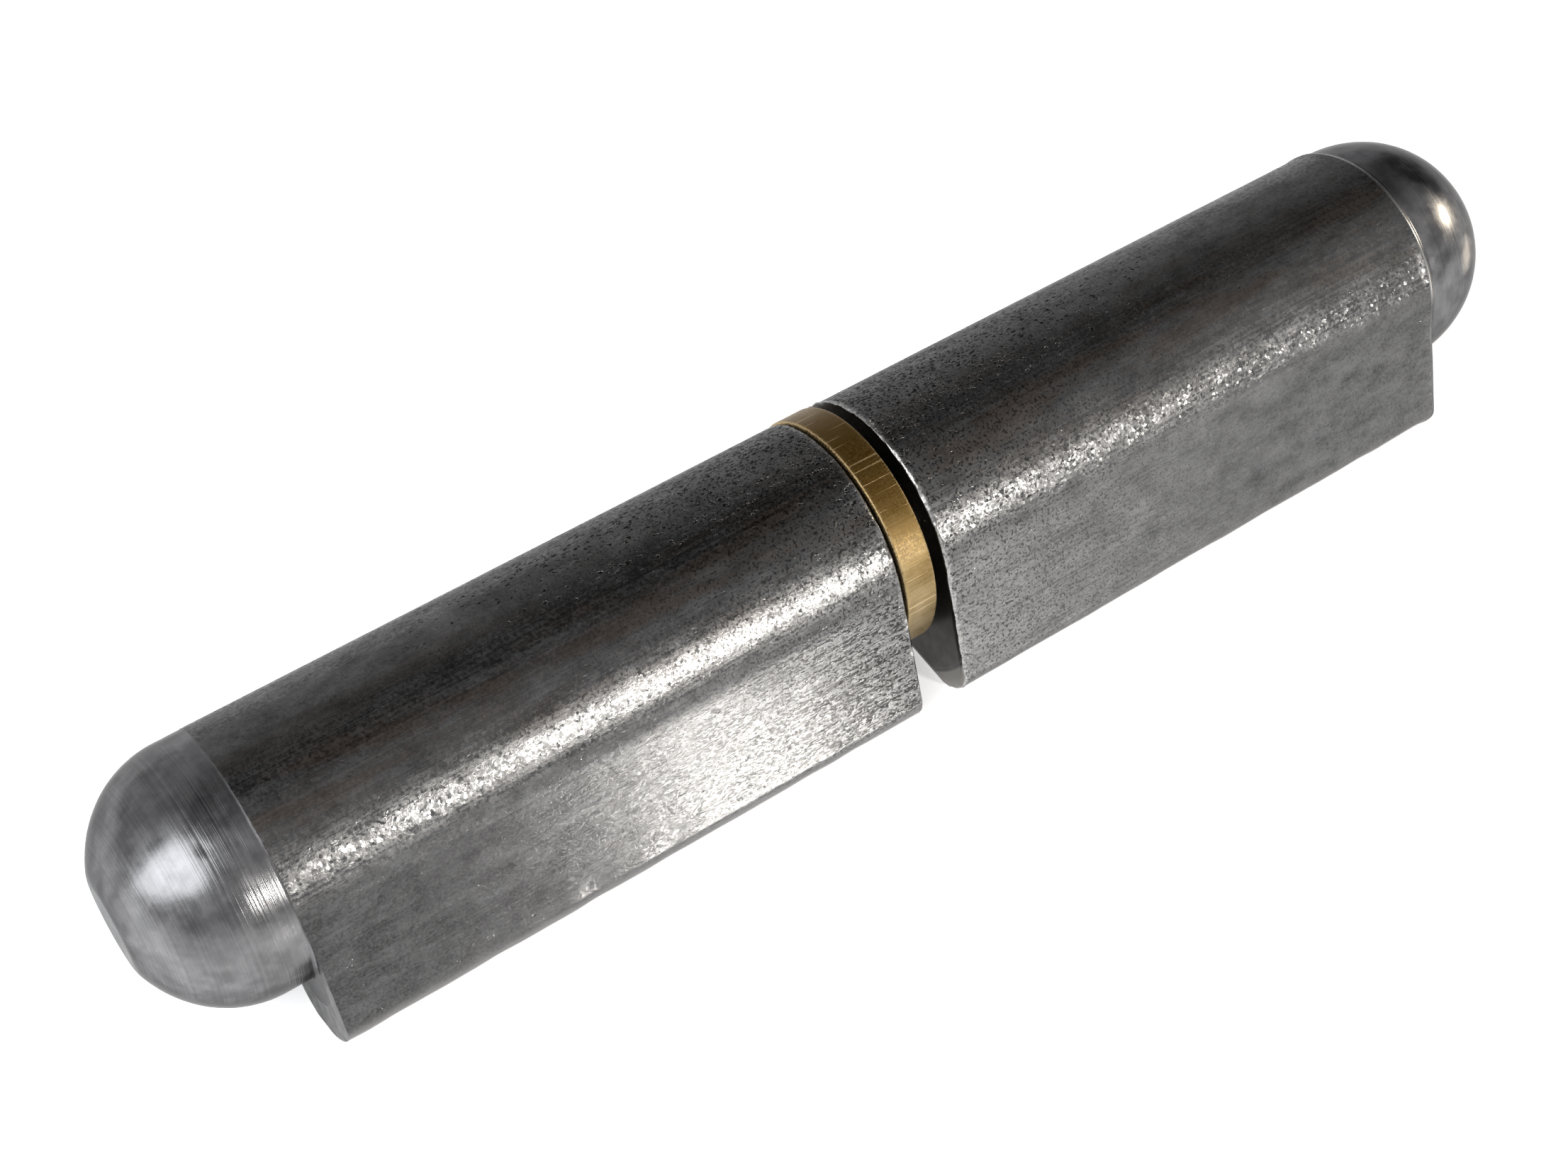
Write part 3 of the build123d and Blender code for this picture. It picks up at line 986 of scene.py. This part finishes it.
studio = {
    "boardSize": 12.0,
    "boardDrop": 0.02,  # mm below the hinge
    "boardColour": "#f4f4f4",
    "boardRoughness": 0.05,
    "boardIor": 2.0,
    "boardGlow": 0.5,
    "lampDistance": 0.7,
    "roomColour": "#fdfdff",
    "roomLevels": ((0.0, 0.58), (0.6, 0.57), (0.75, 0.51), (0.88, 0.36), (0.95, 0.16), (1.0, 0.065)),
    "darkCorner": (0.35, 0.38, 0.856),
    "darkDoor": (0.865, 0.367, 0.342),
    "doorRange": (0.9, 0.985, 1.0, 0.12),
    "key": {
        "azimuth": 18.6,
        "elevation": 21.0,
        "width": 5.0,
        "height": 8.0,
        "brightness": 166.0,
        "colour": "#fffaf4",
    },
    "side": {
        "azimuth": 78.0,
        "elevation": 15.5,
        "width": 12.0,
        "height": 11.0,
        "brightness": 18.0,
        "colour": "#fff0d8",
    },
    "window": {  # its corners as azimuth and elevation
        "corners": (
            (-104, 1), (-104, 30), (-108, 60), (-78, 66), (-50, 62), (-42, 50), (-46, 38), (-80, 15),
        ),
        "brightness": 5.0,
        "colour": "#fbfcff",
    },
}


def towards(azimuth, elevation):  # a direction from its azimuth, from -Y towards +X, and its elevation
    azimuth, elevation = radians(azimuth), radians(elevation)
    return Vector((sin(azimuth) * cos(elevation), -cos(azimuth) * cos(elevation), sin(elevation)))


def addLamp(name, s):  # an area lamp, as wide and as high in degrees as the hinge sees it
    direction = towards(s["azimuth"], s["elevation"])
    distance = studio["lampDistance"]
    data = bpy.data.lights.new(name, "AREA")
    data.shape = "RECTANGLE"
    data.size = 2 * distance * np.tan(radians(s["width"] / 2))
    data.size_y = 2 * distance * np.tan(radians(s["height"] / 2))
    data.energy = s["brightness"] * pi * data.size * data.size_y
    data.color = toLinear(s["colour"])[:3]
    lamp = bpy.data.objects.new(name, data)
    lamp.location = direction * distance
    lamp.rotation_euler = direction.to_track_quat("Z", "Y").to_euler()
    bpy.context.scene.collection.objects.link(lamp)


def addSheet(name, corners, material):  # a flat stage piece
    mesh = bpy.data.meshes.new(name)
    mesh.from_pydata(corners, [], [tuple(range(len(corners)))])
    sheet = bpy.data.objects.new(name, mesh)
    bpy.context.scene.collection.objects.link(sheet)
    sheet.data.materials.append(material)


def addWindow(s):  # daylight through a slanted opening: a broad soft sheen on the barrels
    material, tree, _ = newMaterial("Daylight", {})
    light = addNode(tree, "Emission", {"Color": toLinear(s["colour"]), "Strength": s["brightness"]})
    addNode(tree, "OutputMaterial", {"Surface": light})
    addSheet("window", [towards(*corner) * studio["lampDistance"] for corner in s["corners"]], material)


def addBoard():  # a glazed white board: plain white to the eye, and it mirrors the lamps up at the flanks
    material, tree, _ = newMaterial("White glazed board", {})
    path = addNode(tree, "LightPath")
    seen = path.outputs["Is Camera Ray"]
    for ray in ("Is Glossy Ray", "Is Transmission Ray"):
        seen = addNode(tree, "Math", (seen, path.outputs[ray]), operation="MAXIMUM")
    glow = addNode(tree, "Math", (seen, studio["boardGlow"]), operation="MULTIPLY")
    glaze = {"Base Color": toLinear(studio["boardColour"]), "Roughness": studio["boardRoughness"]}
    glaze |= {"IOR": studio["boardIor"], "Emission Color": (1, 1, 1, 1), "Emission Strength": glow}
    addNode(tree, "OutputMaterial", {"Surface": addNode(tree, "BsdfPrincipled", glaze)})
    half = studio["boardSize"] / 2
    height = cadBox[0][2] - studio["boardDrop"] * mm
    corners = ((-half, -half), (half, -half), (half, half), (-half, half))
    addSheet("board", [(x, y, height) for x, y in corners], material)


def addWorld():  # a dim room, a little brighter towards the horizon
    world = bpy.data.worlds.new("room")
    bpy.context.scene.world = world
    world.use_nodes = True
    tree = world.node_tree
    tree.nodes.clear()
    around = addNode(tree, "TexCoord").outputs["Generated"]
    dark, door = (
        addNode(tree, "VectorMath", (around, studio[label]), operation="DOT_PRODUCT").outputs["Value"]
        for label in ("darkCorner", "darkDoor")
    )
    curve = addNode(tree, "FloatCurve", {"Value": dark})
    points = curve.mapping.curves[0].points
    for _ in range(len(studio["roomLevels"]) - 2):
        points.new(0.5, 0.5)
    for point, level in zip(points, studio["roomLevels"]):
        point.location = level
        point.handle_type = "VECTOR"
    curve.mapping.update()
    doorway = addNode(tree, "MapRange", (door, *studio["doorRange"]))
    level = addNode(tree, "Math", (curve, doorway), operation="MULTIPLY")
    back = addNode(tree, "Background", {"Color": toLinear(studio["roomColour"]), "Strength": level})
    addNode(tree, "OutputWorld", {"Surface": back})


view = {
    "place": (-58.68, -72.2, 121.95),
    "azimuth": -37.45,
    "elevation": 53.84,
    "roll": 3.33,
    "lens": 56.25,
    "sensorWidth": 36,
    "clip": (0.005, 30),
}


def addCamera():
    forward = -towards(view["azimuth"], view["elevation"])
    level = forward.cross(Vector((0, 0, 1))).normalized()
    right = Matrix.Rotation(radians(view["roll"]), 3, -forward) @ level
    up = right.cross(forward)
    data = bpy.data.cameras.new("camera")
    data.sensor_width = view["sensorWidth"]
    data.lens = view["lens"]
    data.clip_start, data.clip_end = view["clip"]
    camera = bpy.data.objects.new("camera", data)
    rotation = Matrix((right, up, -forward)).transposed().to_4x4()
    camera.matrix_world = Matrix.Translation(Vector(view["place"]) * mm) @ rotation
    bpy.context.scene.collection.objects.link(camera)
    bpy.context.scene.camera = camera


addBoard()
addWorld()
addWindow(studio["window"])
for name in ("key", "side"):
    addLamp(name, studio[name])
addCamera()
bpy.context.scene.view_settings.view_transform = "Standard"
print("studio ready")
